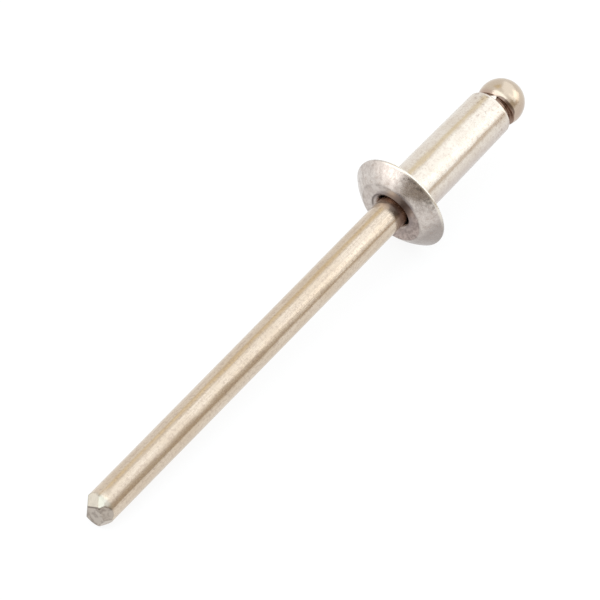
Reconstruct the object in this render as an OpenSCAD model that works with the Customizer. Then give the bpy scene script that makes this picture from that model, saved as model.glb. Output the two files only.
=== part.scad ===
// Open-end blind rivet with a domed flange and a ball-headed pulling mandrel, lying at rest.
// Sizes are in millimetres. Both pieces are turned about one axis, with height zero on the
// underside of the flange, the shank above it and the mandrel's pulling end below it.
// The rivet then lies on the rim of its flange and the end of its mandrel, +Z up.

/* [Shank] */
// diameter of the straight stretch next to the flange
shank_d = 3.2; // [3.15:0.05:3.4]
// length of that straight stretch
grip_len = 3; // [2:0.25:5]
// diameter at the end, after the slight taper
shank_end_d = 3.06; // [3.04:0.01:3.12]
// length from the underside of the flange to the end
shank_len = 9; // [8:0.25:12]
// rounding of the outer edge at the end
shank_edge_r = 0.3; // [0.1:0.05:0.3]
// fillet between shank and flange
root_r = 0.1; // [0.05:0.01:0.15]

/* [Flange] */
// diameter of the rim
flange_d = 6.5; // [6:0.1:7]
// thickness of the rim's thin edge
rim_t = 0.1; // [0.08:0.02:0.2]
// height from the underside to the flat ring round the mouth
flange_h = 1; // [0.9:0.05:1.3]
// outer diameter of the flat ring
ring_d = 4.3; // [3.8:0.1:4.6]
// how far the mouth flares beyond the bore, all round
mouth_flare = 0.32; // [0.2:0.02:0.36]
// radius of the flared lip, seen in section
lip_r = 0.6; // [0.45:0.05:0.8]

/* [Mandrel] */
// diameter of the pulling stem
mandrel_d = 2.06; // [1.9:0.02:2.1]
// gap all round between stem and bore
bore_gap = 0.05; // [0.03:0.01:0.07]
// length of stem standing out from the flat ring
pull_len = 28; // [25:0.2:34]
// diameter of the ball head
ball_d = 2.94; // [2.8:0.02:3.06]
// width of the ring on which the head sits at the end of the shank
seat_w = 0.09; // [0.06:0.01:0.1]
// height of the head's flat underside above the end of the shank, on the axis
head_lift = 0.26; // [0.18:0.01:0.3]
// lean of that underside, in degrees
head_lean = 5; // [0:1:6]
// how far the ball stands off the axis, towards its lifted side
head_shift = 0.06; // [0:0.01:0.06]
// diameter left at the breaking groove
neck_d = 1.5; // [1.3:0.05:1.7]
// distance of the breaking groove from the ball's seat
neck_depth = 1.2; // [0.8:0.1:3]
// radius of the breaking groove, seen in section
neck_r = 0.6; // [0.4:0.05:0.8]

/* [Cut end] */
// broken edge round the cut end
cut_edge = 0.06; // [0.02:0.01:0.1]
// slope of the three bevels against the axis, in degrees
bevel_slope = 36; // [30:1:45]
// distance of the upper bevel from the axis, on the end face
upper_bevel = 0.48; // [0.35:0.01:0.7]
// distance of the side bevel from the axis, on the end face
side_bevel = 0.53; // [0.4:0.01:0.7]
// distance of the lower bevel from the axis, on the end face
lower_bevel = 0.68; // [0.65:0.01:0.75]

/* [Hidden] */
$fn = 96;
shank_r = shank_d / 2;
shank_end_r = shank_end_d / 2;
flange_r = flange_d / 2;
ring_r = ring_d / 2;
mandrel_r = mandrel_d / 2;
bore_r = mandrel_r + bore_gap;
ball_r = ball_d / 2;
seat_r = bore_r + seat_w;
ball_z = shank_len + sqrt(ball_r * ball_r - seat_r * seat_r);
ring_z = -flange_h;
cut_z = ring_z - pull_len;
// the lip is an arc that leaves the bore wall at this depth below the ring
lip_depth = sqrt(lip_r * lip_r - pow(lip_r - mouth_flare, 2));
// the dome is part of a sphere about the axis, through the rim's edge and the ring's edge
dome_z = (flange_r * flange_r - ring_r * ring_r + rim_t * rim_t - flange_h * flange_h)
    / (2 * (flange_h - rim_t));
dome_r = sqrt(flange_r * flange_r + pow(dome_z + rim_t, 2));
// where the taper of the shank meets its rounded edge
taper_top = shank_len - shank_edge_r;
// how far a cutting shape runs on past what it cuts
past = 1;
// turn of each bevel about the axis
upper_bevel_turn = 148;
side_bevel_turn = 99;
lower_bevel_turn = -60;
bevel_block = 3 * mandrel_d;
// the side on which the head stands furthest from the shank
head_lean_turn = -60;
head_block = 2 * ball_d;
// the resting line runs from the rim of the flange to the edge of the cut end
touch_run = -rim_t - (cut_z + cut_edge);
rest_tilt = atan((flange_r - mandrel_r) / touch_run);
rest_height = rim_t * sin(rest_tilt) + flange_r * cos(rest_tilt);
ball_reach = ball_z * cos(rest_tilt) + ball_r;
cut_reach = cut_z * cos(rest_tilt) - mandrel_r * sin(rest_tilt);

// lays a piece turned about +Z on its side, head end up and towards +X
module lay() {
    translate([-(ball_reach + cut_reach) / 2, 0, rest_height])
        rotate([0, 90 - rest_tilt, 0])
            children();
}

// half section of the body with every edge still square
module body_blank() {
    polygon([
        [0, ring_z],
        [flange_r, ring_z],
        [flange_r, 0],
        [shank_r + root_r, 0],
        [shank_r + root_r, root_r],
        [shank_r, root_r],
        [shank_r, grip_len],
        [shank_end_r, taper_top],
        [shank_end_r, shank_len],
        [0, shank_len]
    ]);
}

// what is taken off the square rim to leave the dome
module dome_waste() {
    difference() {
        translate([0, ring_z - past])
            square([flange_r + past, flange_h + past]);
        translate([0, dome_z])
            circle(r = dome_r);
    }
}

// what is taken off the end of the shank to round its outer edge
module end_waste() {
    difference() {
        translate([shank_end_r - shank_edge_r, taper_top])
            square(shank_edge_r + past);
        translate([shank_end_r - shank_edge_r, taper_top])
            circle(r = shank_edge_r);
    }
}

// what is taken out of the mouth to flare it into the bore
module mouth_waste() {
    difference() {
        translate([0, ring_z - past])
            square([bore_r + mouth_flare, lip_depth + past]);
        translate([bore_r + lip_r, ring_z + lip_depth])
            circle(r = lip_r);
    }
}

// shank and flange, formed in one piece round an open bore
module rivet_body() {
    color([0.7, 0.63, 0.55])
        lay()
            rotate_extrude()
                difference() {
                    body_blank();
                    dome_waste();
                    end_waste();
                    mouth_waste();
                    translate([shank_r + root_r, root_r])
                        circle(r = root_r);
                    translate([0, ring_z - past])
                        square([bore_r, flange_h + shank_len + 2 * past]);
                }
}

// half section of the stem: cut end, breaking groove and the shoulder under the head
module stem_section() {
    difference() {
        polygon([
            [0, cut_z],
            [mandrel_r - cut_edge, cut_z],
            [mandrel_r, cut_z + cut_edge],
            [mandrel_r, shank_len],
            [seat_r, shank_len],
            [seat_r, ball_z],
            [0, ball_z]
        ]);
        translate([neck_d / 2 + neck_r, shank_len - neck_depth])
            circle(r = neck_r);
    }
}

// ball head, flattened below where it was formed over the shoulder
module ball_head() {
    rotate([0, 0, head_lean_turn])
        difference() {
            translate([head_shift, 0, ball_z])
                sphere(r = ball_r);
            translate([0, 0, shank_len + head_lift])
                rotate([0, -head_lean, 0])
                    translate([-head_block / 2, -head_block / 2, -head_block])
                        cube(head_block);
        }
}

// takes one sloping flat off the cut end
module bevel(turn, distance) {
    rotate([0, 0, turn])
        translate([distance, 0, cut_z])
            rotate([0, bevel_slope, 0])
                translate([0, -bevel_block / 2, -bevel_block / 2])
                    cube(bevel_block);
}

// pulling stem and ball head in one piece
module mandrel() {
    color([0.66, 0.56, 0.44])
        lay()
            difference() {
                union() {
                    rotate_extrude()
                        stem_section();
                    ball_head();
                }
                bevel(upper_bevel_turn, upper_bevel);
                bevel(side_bevel_turn, side_bevel);
                bevel(lower_bevel_turn, lower_bevel);
            }
}

rivet_body();
mandrel();
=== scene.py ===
"""A stainless blind rivet lying on a white floor, dressed for a still view."""

import math
from collections import namedtuple

import bmesh
import bpy
from mathutils import Matrix, Vector


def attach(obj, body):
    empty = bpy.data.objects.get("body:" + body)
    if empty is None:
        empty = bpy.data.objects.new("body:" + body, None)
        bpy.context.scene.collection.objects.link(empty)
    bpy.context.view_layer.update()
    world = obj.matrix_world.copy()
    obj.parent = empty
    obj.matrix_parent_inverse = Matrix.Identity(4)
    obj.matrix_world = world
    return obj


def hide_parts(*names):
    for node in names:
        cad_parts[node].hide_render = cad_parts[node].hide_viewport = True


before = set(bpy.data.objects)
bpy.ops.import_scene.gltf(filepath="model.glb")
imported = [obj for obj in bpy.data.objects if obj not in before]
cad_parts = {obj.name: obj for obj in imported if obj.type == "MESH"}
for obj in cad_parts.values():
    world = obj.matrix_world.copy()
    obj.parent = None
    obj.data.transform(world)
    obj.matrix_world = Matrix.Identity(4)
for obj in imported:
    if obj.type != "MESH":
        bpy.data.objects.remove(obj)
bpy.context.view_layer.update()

MM = 0.001
Flat = namedtuple("Flat", "point facing")
Place = namedtuple("Place", "local height radius")


def side(turn):
    """Direction square to the rivet's axis, by its turn in degrees: 90 is towards +Y and 180 is up."""
    angle = math.radians(turn)
    return Vector((math.cos(angle), math.sin(angle), 0))


def paint(red, green, blue):
    """A colour as shader sockets take it."""
    return red, green, blue, 1.0


# the rivet's own axis as it lies: the middle of the flange's underside, and its rise
SEAT = Vector((8.83137 * MM, 0.0, 3.24809 * MM))
REST_TILT = math.radians(4.40174)
LAID_DOWN = math.pi / 2 - REST_TILT
AXIS = Matrix.Translation(SEAT) @ Matrix.Rotation(LAID_DOWN, 4, "Y") @ Matrix.Scale(MM, 4)

# heights along the axis and radii, in millimetres from the flange's underside
RING_Z = -1.0
CUT_Z = -29.0
SHANK_LEN = 9.0
RING_R = 2.15
FLANGE_R = 3.25
MOUTH_R = 1.4
# height of the flat under the ball on the axis, and the direction square to that flat
HEAD_LIFT = 0.26
HEAD_LEAN = Vector((0, 0, 1)) - side(-60) * math.tan(math.radians(5))
# length of the pinched end, which gets two more flats than its solid has
TIP_LEN = 1.5
# a point of the surface this close to a flat counts as lying on it, wholly or in part
FLAT_TOUCH = 0.01
FLAT_FADE = 0.05

# the sliver of metal on the end of the shank: its stretch round the axis in degrees, and its steps
SLIVER_START = 175
SLIVER_END = 198
SLIVER_STEPS = 10
# its section: radius, height of its foot over the end of the shank, and rise where it is highest
SLIVER_SECTION = (
    (1.16, -0.05, 0.0),
    (1.22, -0.03, 0.22),
    (1.32, -0.04, 0.33),
    (1.41, -0.08, 0.25),
    (1.47, -0.15, 0.0),
)
# above one, its highest place lies nearer its end
SLIVER_SKEW = 1.8

# the side of the cut end that the upper bevel takes off
UPPER_BEVEL = side(148)
# the side of the mouth where painted shade spreads over the ring as a painted dark reflection, and the
# direction across it
PAINTED_LIGHT_SIDE = side(212)
ACROSS_DARK_REFLECTION = side(302)
# the side of the mouth whose lip has a painted dark line of shade
LIP_SIDE = side(125)
# the side of the flange and its ring that is darkened by painted shade
SHADED_SIDE = side(-55)
# the lower side of shank and ball, darkened by painted shade along its length
SHADED_LOW_SIDE = side(-62)
# the side on which the painted shadow under the ball reaches over its edge
GAP_SIDE = side(225)
# the side on which the stretch of the stem darkened by painted shade is shortest
STEM_SHADE_SHORT = side(161.5)

# colours of the body
SHANK_PALE = paint(0.77, 0.71, 0.63)
SHANK_WARM = paint(0.73, 0.66, 0.57)
SHANK_SPECK = paint(0.54, 0.43, 0.36)
# painted shade on the lower side of the shank
SHANK_SHADE = paint(0.52, 0.45, 0.42)
FLANGE_PALE = paint(0.69, 0.635, 0.59)
FLANGE_WARM = paint(0.62, 0.56, 0.515)
FLANGE_SPECK = paint(0.38, 0.32, 0.29)
FLANGE_MOTTLE = paint(0.34, 0.29, 0.26)
# painted shade on the low side of the flange
FLANGE_SHADE = paint(0.32, 0.28, 0.26)
PIT = paint(0.40, 0.31, 0.26)
# painted shade on the flat ring
RING_SHADE_PALE = paint(0.47, 0.385, 0.35)
RING_SHADE_DARK = paint(0.28, 0.225, 0.205)
# painted shade along the crease round the ring
CREASE_SHADE = paint(0.24, 0.21, 0.19)
# painted shade in the mouth of the bore
MOUTH_SHADE = paint(0.27, 0.22, 0.21)
# painted shade in a line round the lip
LIP_SHADE_LINE = paint(0.13, 0.10, 0.09)
# painted dark reflection of the stem across the ring
RING_DARK_REFLECTION = paint(0.17, 0.14, 0.145)
# painted dark reflection in patches near the rim
RIM_DARK_REFLECTION = paint(0.17, 0.15, 0.13)
# painted highlight along the rim's thin edge
RIM_HIGHLIGHT = paint(0.86, 0.81, 0.72)

# colours of the mandrel
WIRE_PALE = paint(0.69, 0.59, 0.48)
WIRE_GOLD = paint(0.65, 0.54, 0.42)
WIRE_LINE = paint(0.53, 0.43, 0.33)
WIRE_SPECK = paint(0.48, 0.38, 0.31)
# painted shade where the stem goes into the mouth
STEM_SHADE = paint(0.42, 0.29, 0.23)
BALL_TONE = paint(0.60, 0.51, 0.40)
# painted shade on the lower side of the ball
BALL_SHADE = paint(0.45, 0.34, 0.29)
BEVEL_TONE = paint(0.52, 0.49, 0.42)
CROWN_TONE = paint(0.36, 0.33, 0.26)
FACE_PALE = paint(0.45, 0.395, 0.34)
FACE_MARK = paint(0.30, 0.255, 0.215)
# painted shade in a dark line along the upper edge of the end face
EDGE_SHADE_LINE = paint(0.16, 0.13, 0.11)
# painted shadow in the gap under the ball's edge
HEAD_RIM_SHADOW = paint(0.16, 0.11, 0.085)
# painted shadow on the flat under the ball
UNDER_HEAD_SHADOW = paint(0.30, 0.20, 0.15)

# relief of the metal: depth of one unit of height, and how much the slow waves count beside the grain
RELIEF_DEPTH = 0.005 * MM
WAVE_SHARE = 6.0
# rounding of edges in the picture
BODY_EDGE = 0.04 * MM
STEM_EDGE = 0.07 * MM
TIP_EDGE = 0.16 * MM

# colours of the studio
WHITE = paint(1, 1, 1)
FLOOR_GREY = paint(0.9, 0.9, 0.9)
NEAR_WHITE = (1.0, 0.99, 0.98)
CREAM = (1.0, 0.97, 0.90)
COOL = (0.79, 0.90, 1.0)
SKY = (0.75, 0.90, 1.0)


def flat_on_tip(turn, slope, distance):
    """A flat on the cut end: a point where it meets the end face, and the way it looks."""
    fall = math.radians(slope)
    point = side(turn) * distance + Vector((0, 0, CUT_Z))
    return Flat(point, side(turn) * math.cos(fall) - Vector((0, 0, math.sin(fall))))


NEAR_FLAT = flat_on_tip(247, 34, 0.65)
CROWN_FLAT = flat_on_tip(187, 18, 0.82)
LOWER_FLAT = flat_on_tip(-60, 36, 0.68)


class Nodes:
    """Adds shader nodes to one tree and links them as they are made."""

    def __init__(self, tree):
        self.tree = tree
        tree.nodes.clear()

    def add(self, kind, inputs=None, **settings):
        node = self.tree.nodes.new(kind)
        for name, value in settings.items():
            setattr(node, name, value)
        for key, value in (inputs or {}).items():
            self.put(node.inputs[key], value)
        return node

    def put(self, socket, value):
        if isinstance(value, bpy.types.NodeSocket):
            self.tree.links.new(value, socket)
        else:
            socket.default_value = value

    def math(self, operation, first, second=0.0, third=0.0, clamp=False):
        node = self.add("ShaderNodeMath", operation=operation, use_clamp=clamp)
        self.put(node.inputs[0], first)
        self.put(node.inputs[1], second)
        self.put(node.inputs[2], third)
        return node.outputs[0]

    def times(self, product, *others):
        """The product of several masks or numbers."""
        for other in others:
            product = self.math("MULTIPLY", product, other)
        return product

    def scaled_on(self, value, factor, base):
        """A value times a factor, added to a base."""
        return self.math("MULTIPLY_ADD", value, factor, base)

    def off(self, value, middle):
        """How far a value is from the middle, either way."""
        return self.math("ABSOLUTE", self.math("SUBTRACT", value, middle))

    def ramp(self, value, low, high, to_low=0.0, to_high=1.0):
        """A smooth step from to_low, where the value is low, to to_high, where it is high."""
        node = self.add("ShaderNodeMapRange", interpolation_type="SMOOTHSTEP")
        for key, number in enumerate((value, low, high, to_low, to_high)):
            self.put(node.inputs[key], number)
        return node.outputs[0]

    def mix(self, factor, first, second):
        node = self.add("ShaderNodeMix", data_type="RGBA")
        self.put(node.inputs["Factor"], factor)
        self.put(node.inputs[6], first)
        self.put(node.inputs[7], second)
        return node.outputs[2]

    def noise(self, vector, scale, detail=2.0, rough=0.5):
        node = self.add("ShaderNodeTexNoise")
        self.put(node.inputs["Vector"], vector)
        node.inputs["Scale"].default_value = scale
        node.inputs["Detail"].default_value = detail
        node.inputs["Roughness"].default_value = rough
        return node.outputs["Fac"]

    def along(self, vector, direction):
        node = self.add("ShaderNodeVectorMath", operation="DOT_PRODUCT")
        self.put(node.inputs[0], vector)
        node.inputs[1].default_value = direction
        return node.outputs["Value"]

    def stretched(self, vector, scale):
        node = self.add("ShaderNodeMapping")
        self.put(node.inputs["Vector"], vector)
        node.inputs["Scale"].default_value = scale
        return node.outputs["Vector"]


def axis_frame(nodes):
    """The rivet's own coordinates in millimetres: height runs along its axis from the flange."""
    turn = nodes.add("ShaderNodeMapping", vector_type="TEXTURE")
    nodes.put(turn.inputs["Vector"], nodes.add("ShaderNodeTexCoord").outputs["Object"])
    turn.inputs["Location"].default_value = SEAT
    turn.inputs["Rotation"].default_value = (0.0, LAID_DOWN, 0.0)
    turn.inputs["Scale"].default_value = (MM, MM, MM)
    local = turn.outputs["Vector"]
    parts = nodes.add("ShaderNodeSeparateXYZ", {"Vector": local})
    level = nodes.add("ShaderNodeCombineXYZ", {"X": parts.outputs["X"], "Y": parts.outputs["Y"]})
    length = nodes.add("ShaderNodeVectorMath", operation="LENGTH")
    nodes.put(length.inputs[0], level.outputs[0])
    return Place(local, parts.outputs["Z"], length.outputs["Value"])


def on_flat(nodes, at, flat):
    """One where the surface lies on a flat of the cut end, nought elsewhere on the mandrel."""
    off_flat = nodes.math("SUBTRACT", nodes.along(at.local, flat.facing), flat.facing.dot(flat.point))
    return nodes.ramp(off_flat, -FLAT_FADE, -FLAT_TOUCH)


def new_material(name):
    material = bpy.data.materials.new(name)
    material.use_nodes = True
    return material, Nodes(material.node_tree)


def finish_metal(nodes, colour, roughness, relief, edge):
    """Metal shader with fine relief, and edges rounded by the given radius."""
    rounded = nodes.add("ShaderNodeBevel", {"Radius": edge}, samples=6)
    bump = nodes.add("ShaderNodeBump", {"Normal": rounded.outputs["Normal"]})
    bump.inputs["Strength"].default_value = 1.0
    bump.inputs["Distance"].default_value = RELIEF_DEPTH
    nodes.put(bump.inputs["Height"], relief)
    shader = nodes.add("ShaderNodeBsdfPrincipled")
    shader.inputs["Metallic"].default_value = 1.0
    nodes.put(shader.inputs["Base Color"], colour)
    nodes.put(shader.inputs["Roughness"], roughness)
    nodes.put(shader.inputs["Normal"], bump.outputs["Normal"])
    output = nodes.add("ShaderNodeOutputMaterial")
    nodes.put(output.inputs["Surface"], shader.outputs["BSDF"])


# the materials: limits on heights, radii and sides are millimetres, limits on noise are shares of one


def clean_body(nodes, speckle, blotch, on_flange):
    """Warm shank and greyer flange, both finely speckled."""
    patches = nodes.ramp(blotch, 0.35, 0.65)
    shank = nodes.mix(patches, SHANK_PALE, SHANK_WARM)
    flange = nodes.mix(patches, FLANGE_PALE, FLANGE_WARM)
    tone = nodes.mix(on_flange, shank, flange)
    specks = nodes.mix(on_flange, SHANK_SPECK, FLANGE_SPECK)
    return nodes.mix(nodes.ramp(speckle, 0.44, 0.66, to_high=0.42), tone, specks)


def worn_and_shaded_body(nodes, at, tone, on_flange):
    """Mottled flange, painted shade on the lower sides of flange and shank, and pits that thicken towards
    the end of the shank.
    """
    mottle = nodes.ramp(nodes.noise(at.local, 2.4, 4.0, 0.65), 0.42, 0.68, to_high=0.42)
    tone = nodes.mix(nodes.times(mottle, on_flange), tone, FLANGE_MOTTLE)
    # painted shade: the flange darker on its low side
    flange_shading = nodes.ramp(nodes.along(at.local, SHADED_SIDE), 1.7, 2.5, to_high=0.8)
    tone = nodes.mix(nodes.times(flange_shading, on_flange), tone, FLANGE_SHADE)
    on_shank = nodes.math("SUBTRACT", 1.0, on_flange)
    # painted shade: the shank darker along its lower side
    shank_shading = nodes.ramp(nodes.along(at.local, SHADED_LOW_SIDE), 0.96, 1.56, to_high=0.7)
    tone = nodes.mix(nodes.times(shank_shading, on_shank), tone, SHANK_SHADE)
    pits = nodes.ramp(nodes.noise(at.local, 4.2, 4.0, 0.65), 0.57, 0.64)
    wear = nodes.scaled_on(on_flange, 0.2, nodes.ramp(at.height, 5.5, SHANK_LEN, 0.22, 0.65))
    return nodes.mix(nodes.times(pits, wear), tone, PIT)


def shaded_ring(nodes, at, tone, speckle, blotch, ring, at_ring):
    """Flat ring darkened by painted shade, most on its low side, and broken painted shade along the crease
    round it.
    """
    # painted shade on the flat ring, strongest on its low side
    ring_shading = nodes.mix(nodes.ramp(speckle, 0.40, 0.62), RING_SHADE_PALE, RING_SHADE_DARK)
    ring_low_shading = nodes.ramp(nodes.along(at.local, SHADED_SIDE), -1.2, 1.2, to_low=0.15)
    tone = nodes.mix(nodes.times(ring, ring_low_shading), tone, ring_shading)
    # painted shade along the crease round the ring
    crease = nodes.times(
        at_ring,
        nodes.ramp(nodes.off(at.radius, RING_R), 0.12, 0.0),
        nodes.ramp(blotch, 0.3, 0.7, 0.1, 0.4),
    )
    return nodes.mix(crease, tone, CREASE_SHADE)


def shaded_mouth(nodes, at, tone, at_ring):
    """Painted shade in the mouth, a painted line of shade round one side of its lip, and a painted dark
    reflection across the ring.
    """
    outward = nodes.along(at.local, PAINTED_LIGHT_SIDE)
    spread = nodes.scaled_on(nodes.ramp(outward, 0.0, 1.3), -0.3, at.radius)
    # painted shade in the mouth
    mouth = nodes.times(
        nodes.ramp(spread, MOUTH_R + 0.15, MOUTH_R - 0.1),
        nodes.ramp(at.height, 0.0, -0.4),
        nodes.ramp(outward, -0.6, 0.4, 0.2, 0.8),
    )
    tone = nodes.mix(mouth, tone, MOUTH_SHADE)
    # painted shade: a dark line round one side of the lip
    lip_shading = nodes.times(
        nodes.ramp(nodes.off(at.radius, MOUTH_R), 0.09, 0.03),
        nodes.ramp(nodes.along(at.local, LIP_SIDE), 0.7, 1.2, to_high=0.75),
        at_ring,
    )
    tone = nodes.mix(lip_shading, tone, LIP_SHADE_LINE)
    # painted reflection: a dark patch across the ring, beside the mouth
    dark_reflection = nodes.times(
        nodes.ramp(nodes.off(nodes.along(at.local, ACROSS_DARK_REFLECTION), 0.0), 0.95, 0.45),
        nodes.ramp(outward, 2.5, 2.0),
        nodes.ramp(outward, 0.8, 1.2, to_high=0.9),
        at_ring,
    )
    return nodes.mix(dark_reflection, tone, RING_DARK_REFLECTION)


def rim_painted_light(nodes, at, tone, on_flange):
    """Painted dark reflection in patches near the rim and a painted highlight on its thin edge, both on the
    side of the painted reflection across the ring.
    """
    outward = nodes.along(at.local, PAINTED_LIGHT_SIDE)
    # painted reflection: dark patches near the rim
    rim_reflection_patches = nodes.times(
        nodes.ramp(at.radius, 2.5, 3.1),
        nodes.ramp(outward, 2.45, 2.9),
        nodes.ramp(nodes.noise(at.local, 2.8, 3.0, 0.6), 0.48, 0.60, to_high=0.6),
        on_flange,
    )
    tone = nodes.mix(rim_reflection_patches, tone, RIM_DARK_REFLECTION)
    # painted highlight: a bright line along the rim's thin edge
    edge = nodes.times(
        nodes.ramp(at.radius, FLANGE_R - 0.1, FLANGE_R - 0.02),
        nodes.ramp(outward, 1.4, 2.8, to_high=0.8),
    )
    return nodes.mix(edge, tone, RIM_HIGHLIGHT)


def body_metal():
    """Tumbled stainless: fine speckle, a greyer flange with painted shade on its ring and along the crease,
    and painted shade in the mouth.
    """
    material, nodes = new_material("body_steel")
    at = axis_frame(nodes)
    speckle = nodes.noise(at.local, 5.5, 5.0, 0.72)
    blotch = nodes.noise(at.local, 1.1, 3.0)
    lines = nodes.noise(nodes.stretched(at.local, (14.0, 14.0, 0.5)), 1.0, 3.0, 0.6)
    waves = nodes.noise(nodes.stretched(at.local, (1.0, 1.0, 0.4)), 1.0, 1.0)
    on_flange = nodes.ramp(at.height, 0.3, 0.0)
    at_ring = nodes.ramp(at.height, RING_Z + 0.12, RING_Z + 0.04)
    ring = nodes.times(at_ring, nodes.ramp(at.radius, RING_R + 0.04, RING_R - 0.04))
    tone = clean_body(nodes, speckle, blotch, on_flange)
    tone = worn_and_shaded_body(nodes, at, tone, on_flange)
    tone = shaded_ring(nodes, at, tone, speckle, blotch, ring, at_ring)
    tone = shaded_mouth(nodes, at, tone, at_ring)
    tone = rim_painted_light(nodes, at, tone, on_flange)
    grain = nodes.scaled_on(lines, 0.4, nodes.times(speckle, 0.6))
    roughness = nodes.ramp(grain, 0.3, 0.7, 0.15, 0.28)
    roughness = nodes.scaled_on(ring, 0.10, roughness)
    roughness = nodes.scaled_on(on_flange, 0.06, roughness)
    finish_metal(nodes, tone, roughness, nodes.scaled_on(waves, WAVE_SHARE, grain), BODY_EDGE)
    return material


def drawn_wire(nodes, at, lines, speckle, blotch):
    """Golden wire with lines and specks, and painted shade on the stretch next to the mouth."""
    tone = nodes.mix(nodes.ramp(blotch, 0.35, 0.65), WIRE_PALE, WIRE_GOLD)
    tone = nodes.mix(nodes.ramp(lines, 0.38, 0.7, to_high=0.5), tone, WIRE_LINE)
    tone = nodes.mix(nodes.ramp(speckle, 0.47, 0.65, to_high=0.6), tone, WIRE_SPECK)
    # painted shade: the stem darker where it goes into the mouth
    reach = nodes.scaled_on(nodes.along(at.local, STEM_SHADE_SHORT), -0.25, at.height)
    reach = nodes.scaled_on(blotch, 0.15, reach)
    return nodes.mix(nodes.ramp(reach, -1.34, -1.24, to_high=0.7), tone, STEM_SHADE)


def ball_tones(nodes, at, tone, ball):
    """Evener tone on the ball, with painted shade on its lower side."""
    tone = nodes.mix(nodes.times(ball, 0.8), tone, BALL_TONE)
    # painted shade: the ball darker on its lower side
    ball_shading = nodes.ramp(nodes.along(at.local, SHADED_LOW_SIDE), 0.6, 1.4, to_high=0.5)
    return nodes.mix(nodes.times(ball, ball_shading), tone, BALL_SHADE)


def cut_end_tones(nodes, at, tone):
    """Greyer bevels above, a dull marked end face and the flats beside it, and a painted dark line of shade
    along the face's upper edge.
    """
    upward = nodes.along(at.local, UPPER_BEVEL)
    bevels = nodes.times(
        nodes.ramp(at.height, CUT_Z + 0.9, CUT_Z + 0.6, to_high=0.8),
        nodes.ramp(upward, -0.3, 0.3),
    )
    tone = nodes.mix(bevels, tone, BEVEL_TONE)
    tone = nodes.mix(nodes.times(on_flat(nodes, at, CROWN_FLAT), 0.5), tone, CROWN_TONE)
    marks = nodes.ramp(nodes.noise(at.local, 2.6, 3.0, 0.6), 0.42, 0.62)
    face = nodes.mix(marks, FACE_PALE, FACE_MARK)
    at_face = nodes.ramp(at.height, CUT_Z + 0.06, CUT_Z + 0.02)
    at_face = nodes.math("MAXIMUM", at_face, on_flat(nodes, at, NEAR_FLAT))
    tone = nodes.mix(at_face, tone, face)
    tone = nodes.mix(nodes.times(on_flat(nodes, at, LOWER_FLAT), 0.6), tone, face)
    # painted shade: a dark line along the upper edge of the end face
    near_face = nodes.ramp(at.height, CUT_Z + 0.1, CUT_Z + 0.06)
    edge_shading = nodes.math("SUBTRACT", near_face, nodes.ramp(at.height, CUT_Z + 0.02, CUT_Z))
    edge_shading = nodes.times(edge_shading, nodes.ramp(upward, 0.3, 0.48))
    return nodes.mix(nodes.math("MULTIPLY", edge_shading, 0.9, clamp=True), tone, EDGE_SHADE_LINE)


def shaded_head(nodes, at, tone):
    """Painted shadow on the flat under the ball, which reaches over the ball's edge on one side."""
    above_flat = nodes.math("SUBTRACT", nodes.along(at.local, HEAD_LEAN), SHANK_LEN + HEAD_LIFT)
    at_head = nodes.ramp(at.height, SHANK_LEN - 0.05, SHANK_LEN)
    overlap = nodes.ramp(nodes.along(at.local, GAP_SIDE), 1.0, 1.35)
    over_edge = nodes.scaled_on(overlap, -0.15, above_flat)
    # painted shadow: the gap under the ball, reaching over its edge on one side
    rim_shadow = nodes.times(nodes.ramp(over_edge, 0.05, 0.0, to_high=0.9), at_head)
    tone = nodes.mix(rim_shadow, tone, HEAD_RIM_SHADOW)
    # painted shadow on the flat under the ball
    under = nodes.times(nodes.ramp(above_flat, 0.05, 0.0, to_high=0.85), at_head)
    return nodes.mix(under, tone, UNDER_HEAD_SHADOW)


def mandrel_metal():
    """Drawn wire: golden grey, lines along its length, a dull cut end and a painted shadow under the ball.
    """
    material, nodes = new_material("mandrel_steel")
    at = axis_frame(nodes)
    lines = nodes.noise(nodes.stretched(at.local, (16.0, 16.0, 0.3)), 1.0, 4.0, 0.65)
    speckle = nodes.noise(at.local, 6.0, 4.0, 0.68)
    blotch = nodes.noise(nodes.stretched(at.local, (1.2, 1.2, 0.4)), 1.0, 3.0)
    waves = nodes.noise(nodes.stretched(at.local, (1.1, 1.1, 0.3)), 1.0, 1.0)
    ball = nodes.ramp(at.height, SHANK_LEN + 0.2, SHANK_LEN + 0.6)
    tone = drawn_wire(nodes, at, lines, speckle, blotch)
    tone = ball_tones(nodes, at, tone, ball)
    tone = cut_end_tones(nodes, at, tone)
    tone = shaded_head(nodes, at, tone)
    grain = nodes.scaled_on(lines, 0.6, nodes.times(speckle, 0.4))
    roughness = nodes.scaled_on(ball, 0.01, nodes.ramp(grain, 0.3, 0.7, 0.13, 0.24))
    tip_top = CUT_Z + TIP_LEN
    edge = nodes.ramp(at.height, tip_top, tip_top - 0.4, STEM_EDGE, TIP_EDGE)
    finish_metal(nodes, tone, roughness, nodes.scaled_on(waves, WAVE_SHARE, grain), edge)
    return material


def piece_from(shape, name):
    """Smooth-shaded object with the given shape, linked into the scene."""
    bmesh.ops.recalc_face_normals(shape, faces=shape.faces)
    mesh = bpy.data.meshes.new(name)
    shape.to_mesh(mesh)
    shape.free()
    mesh.shade_smooth()
    piece = bpy.data.objects.new(name, mesh)
    bpy.context.scene.collection.objects.link(piece)
    return piece


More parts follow.
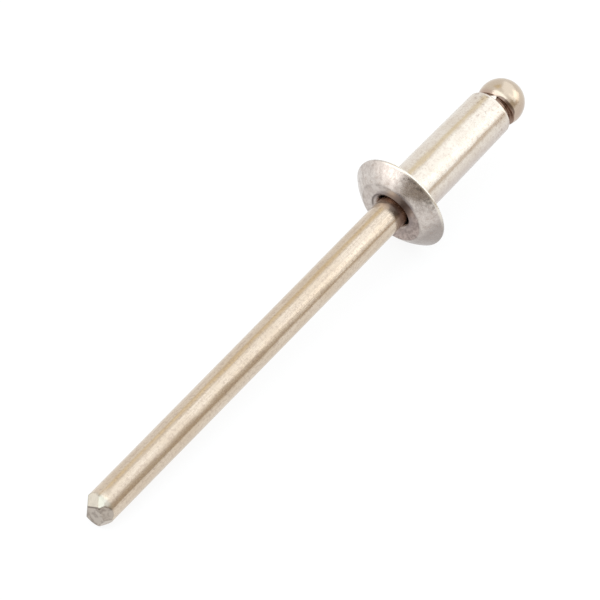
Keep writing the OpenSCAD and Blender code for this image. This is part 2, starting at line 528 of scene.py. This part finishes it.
def pinched_mandrel():
    """The mandrel with the two flats of its pinched end that its solid leaves round."""
    weld = 0.0001 * MM
    shortest_edge = 0.001 * MM
    sharp_angle = math.radians(25)
    shape = bmesh.new()
    shape.from_mesh(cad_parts["mandrel"].data)
    bmesh.ops.remove_doubles(shape, verts=shape.verts, dist=weld)
    turned = AXIS.to_3x3()
    along = (turned @ Vector((0, 0, 1))).normalized()
    tip_top = AXIS @ Vector((0, 0, CUT_Z + TIP_LEN))
    every = shape.verts[:] + shape.edges[:] + shape.faces[:]
    bmesh.ops.bisect_plane(shape, geom=every, plane_co=tip_top, plane_no=along)
    for flat in (CROWN_FLAT, NEAR_FLAT):
        faces = [face for face in shape.faces if (face.calc_center_median() - tip_top).dot(along) < 0]
        tip = dict.fromkeys(part for face in faces for part in (face, *face.edges, *face.verts))
        facing = (turned @ flat.facing).normalized()
        cut = bmesh.ops.bisect_plane(
            shape, geom=list(tip), plane_co=AXIS @ flat.point, plane_no=facing, clear_outer=True)
        rim = [part for part in cut["geom_cut"] if isinstance(part, bmesh.types.BMEdge)]
        bmesh.ops.contextual_create(shape, geom=rim)
        bmesh.ops.dissolve_degenerate(shape, edges=shape.edges, dist=shortest_edge)
    bmesh.ops.triangulate(shape, faces=shape.faces)
    piece = piece_from(shape, "pinched_mandrel")
    # the copied mesh brings normals that no longer fit its cut end
    piece.data.attributes.remove(piece.data.attributes["custom_normal"])
    piece.data.set_sharp_from_angle(angle=sharp_angle)
    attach(piece, "root")
    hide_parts("mandrel")
    return piece


def end_sliver():
    """A sliver of metal raised on the end of the shank, which closes the gap under the ball a short way."""
    shape = bmesh.new()
    rings = []
    for step in range(SLIVER_STEPS + 1):
        share = step / SLIVER_STEPS
        out = side(SLIVER_START + (SLIVER_END - SLIVER_START) * share)
        lift = math.sin(math.pi * share ** SLIVER_SKEW)
        ring = []
        for radius, foot, rise in SLIVER_SECTION:
            point = out * radius + Vector((0, 0, SHANK_LEN + foot + rise * lift))
            ring.append(shape.verts.new(AXIS @ point))
        rings.append(ring)
    for ring, after in zip(rings, rings[1:]):
        for corner in range(len(ring)):
            shape.faces.new((ring[corner - 1], ring[corner], after[corner], after[corner - 1]))
    shape.faces.new(rings[0])
    shape.faces.new(rings[-1])
    piece = piece_from(shape, "end_sliver")
    piece.modifiers.new("round", "SUBSURF").render_levels = 2
    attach(piece, "root")
    return piece


def sheet(name, width, height):
    """Flat rectangle round its own middle, linked into the scene."""
    across = width / 2
    up = height / 2
    mesh = bpy.data.meshes.new(name)
    corners = [(-across, -up, 0), (across, -up, 0), (across, up, 0), (-across, up, 0)]
    mesh.from_pydata(corners, [], [(0, 1, 2, 3)])
    piece = bpy.data.objects.new(name, mesh)
    bpy.context.scene.collection.objects.link(piece)
    return piece


def seen_directly(nodes, share):
    """The given share for rays that show the backdrop itself: camera, mirror and see-through rays."""
    path = nodes.add("ShaderNodeLightPath")
    seen = nodes.math("ADD", path.outputs["Is Camera Ray"], path.outputs["Is Glossy Ray"])
    seen = nodes.math("ADD", seen, path.outputs["Is Transmission Ray"], clamp=True)
    return nodes.times(seen, share)


def mixed_output(nodes, kind, factor, first, second):
    """Two shaders mixed by a factor and led to an output of the given kind."""
    mixed = nodes.add("ShaderNodeMixShader")
    nodes.put(mixed.inputs[0], factor)
    nodes.put(mixed.inputs[1], first.outputs[0])
    nodes.put(mixed.inputs[2], second.outputs[0])
    output = nodes.add(kind)
    nodes.put(output.inputs["Surface"], mixed.outputs[0])


def make_floor():
    """White floor that glows enough to read as white and still takes the rivet's shadow."""
    width = 6.0
    gap = 0.02 * MM
    glow_share = 0.87
    floor = sheet("floor", width, width)
    floor.location.z = -gap
    material, nodes = new_material("white_floor")
    diffuse = nodes.add("ShaderNodeBsdfDiffuse", {"Color": FLOOR_GREY})
    glow = nodes.add("ShaderNodeEmission", {"Color": WHITE, "Strength": 1.0})
    mixed_output(nodes, "ShaderNodeOutputMaterial", seen_directly(nodes, glow_share), diffuse, glow)
    floor.data.materials.append(material)


def make_world():
    """White surroundings, a little brighter for soft light than where they are seen."""
    soft_light = 1.1
    world = bpy.data.worlds.new("studio")
    world.use_nodes = True
    nodes = Nodes(world.node_tree)
    ambient = nodes.add("ShaderNodeBackground", {"Color": WHITE, "Strength": soft_light})
    white = nodes.add("ShaderNodeBackground", {"Color": WHITE, "Strength": 1.0})
    mixed_output(nodes, "ShaderNodeOutputWorld", seen_directly(nodes, 1.0), ambient, white)
    bpy.context.scene.world = world


def standing(place, heading, lean):
    """A frame for a sheet at place, in millimetres, whose face looks away from heading and leans down."""
    turn = math.radians(heading)
    fall = math.radians(lean)
    away = Vector((math.cos(turn), math.sin(turn), 0))
    rise = Vector((0, 0, 1))
    back = away * math.cos(fall) + rise * math.sin(fall)
    up = rise * math.cos(fall) - away * math.sin(fall)
    return Matrix.Translation(Vector(place) * MM) @ Matrix((up.cross(back), up, back)).transposed().to_4x4()


def softbox(name, place, heading, size, radiance, colour, lean=0):
    """Area lamp, upright or leaning down, with the given brightness as seen in the metal."""
    width, height = size
    light = bpy.data.lights.new(name, "AREA")
    light.shape = "RECTANGLE"
    light.size = width * MM
    light.size_y = height * MM
    light.energy = radiance * math.pi * light.size * light.size_y
    light.color = colour
    lamp = bpy.data.objects.new(name, light)
    lamp.matrix_world = standing(place, heading, lean)
    lamp.visible_camera = False
    bpy.context.scene.collection.objects.link(lamp)


def card(name, place, heading, size, colour):
    """Upright plain board that only shows as a band in the metal."""
    width, height = size
    board = sheet(name, width * MM, height * MM)
    board.matrix_world = standing(place, heading, 0)
    board.visible_camera = False
    board.visible_diffuse = False
    board.visible_shadow = False
    material, nodes = new_material(name)
    glow = nodes.add("ShaderNodeEmission", {"Color": paint(*colour), "Strength": 1.0})
    output = nodes.add("ShaderNodeOutputMaterial")
    nodes.put(output.inputs["Surface"], glow.outputs[0])
    board.data.materials.append(material)


def make_camera():
    """Camera fitted to the view: direction, distance and the small moves that centre it."""
    azimuth = math.radians(218.292)
    elevation = math.radians(47.4394)
    distance = 340.0 * MM
    shift_right = -0.5903 * MM
    shift_up = 1.4341 * MM
    pixels_per_mm = 16.7763
    picture = 600
    sensor = 36.0
    level = Vector((math.cos(azimuth), math.sin(azimuth), 0))
    back = level * math.cos(elevation) + Vector((0, 0, math.sin(elevation)))
    right = Vector((-math.sin(azimuth), math.cos(azimuth), 0))
    up = back.cross(right)
    data = bpy.data.cameras.new("camera")
    data.sensor_fit = "HORIZONTAL"
    data.sensor_width = sensor
    data.lens = sensor * pixels_per_mm * distance / MM / picture
    data.clip_start = 0.01
    data.clip_end = 20
    camera = bpy.data.objects.new("camera", data)
    place = back * distance + right * shift_right + up * shift_up
    camera.matrix_world = Matrix.Translation(place) @ Matrix((right, up, back)).transposed().to_4x4()
    bpy.context.scene.collection.objects.link(camera)
    bpy.context.scene.camera = camera


body_steel = body_metal()
mandrel_steel = mandrel_metal()
dressed = (
    (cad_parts["rivet_body"], body_steel),
    (end_sliver(), body_steel),
    (pinched_mandrel(), mandrel_steel),
)
for piece, material in dressed:
    piece.data.materials.clear()
    piece.data.materials.append(material)

make_floor()
make_world()
# lamps: places and sizes in millimetres, width before height
softbox("left_box", (-105, 97, 175), heading=137, size=(160, 350), radiance=0.5, colour=NEAR_WHITE)
softbox("left_core", (-112, 85, 62), heading=143, size=(70, 60), radiance=0.7, colour=NEAR_WHITE)
softbox("right_box", (134.2, -5.2, 253), heading=329, size=(268.5, 434), radiance=0.5, colour=COOL)
softbox("right_near", (75.3, -103.1, 97), heading=329, size=(32, 36), radiance=0.45, colour=CREAM)
softbox("right_high", (82.2, -91.5, 135), heading=329, size=(33, 40), radiance=0.35, colour=CREAM)
softbox("right_core", (95, -55, 36), heading=324, size=(60, 56), radiance=0.8, colour=CREAM)
softbox("top_box", (-67, 0, 260), heading=180, size=(400, 185), radiance=1.4, colour=SKY, lean=90)
# boards that stand in the openings between the lamps
card("front_opening", (-75, -65, 60), heading=221, size=(227, 120), colour=(0.37, 0.32, 0.27))
card("side_opening", (27.1, -143.5, 50), heading=296, size=(92, 100), colour=(0.57, 0.50, 0.41))
card("side_low", (91, -119, 18), heading=284, size=(60, 36), colour=(0.72, 0.63, 0.54))
card("back_corner", (126, 156, 195), heading=51, size=(100, 90), colour=(0.87, 0.78, 0.60))
card("back_gold", (126, 156, 283), heading=51, size=(100, 86), colour=(1.0, 0.89, 0.66))
make_camera()
bpy.context.scene.view_settings.view_transform = "Standard"
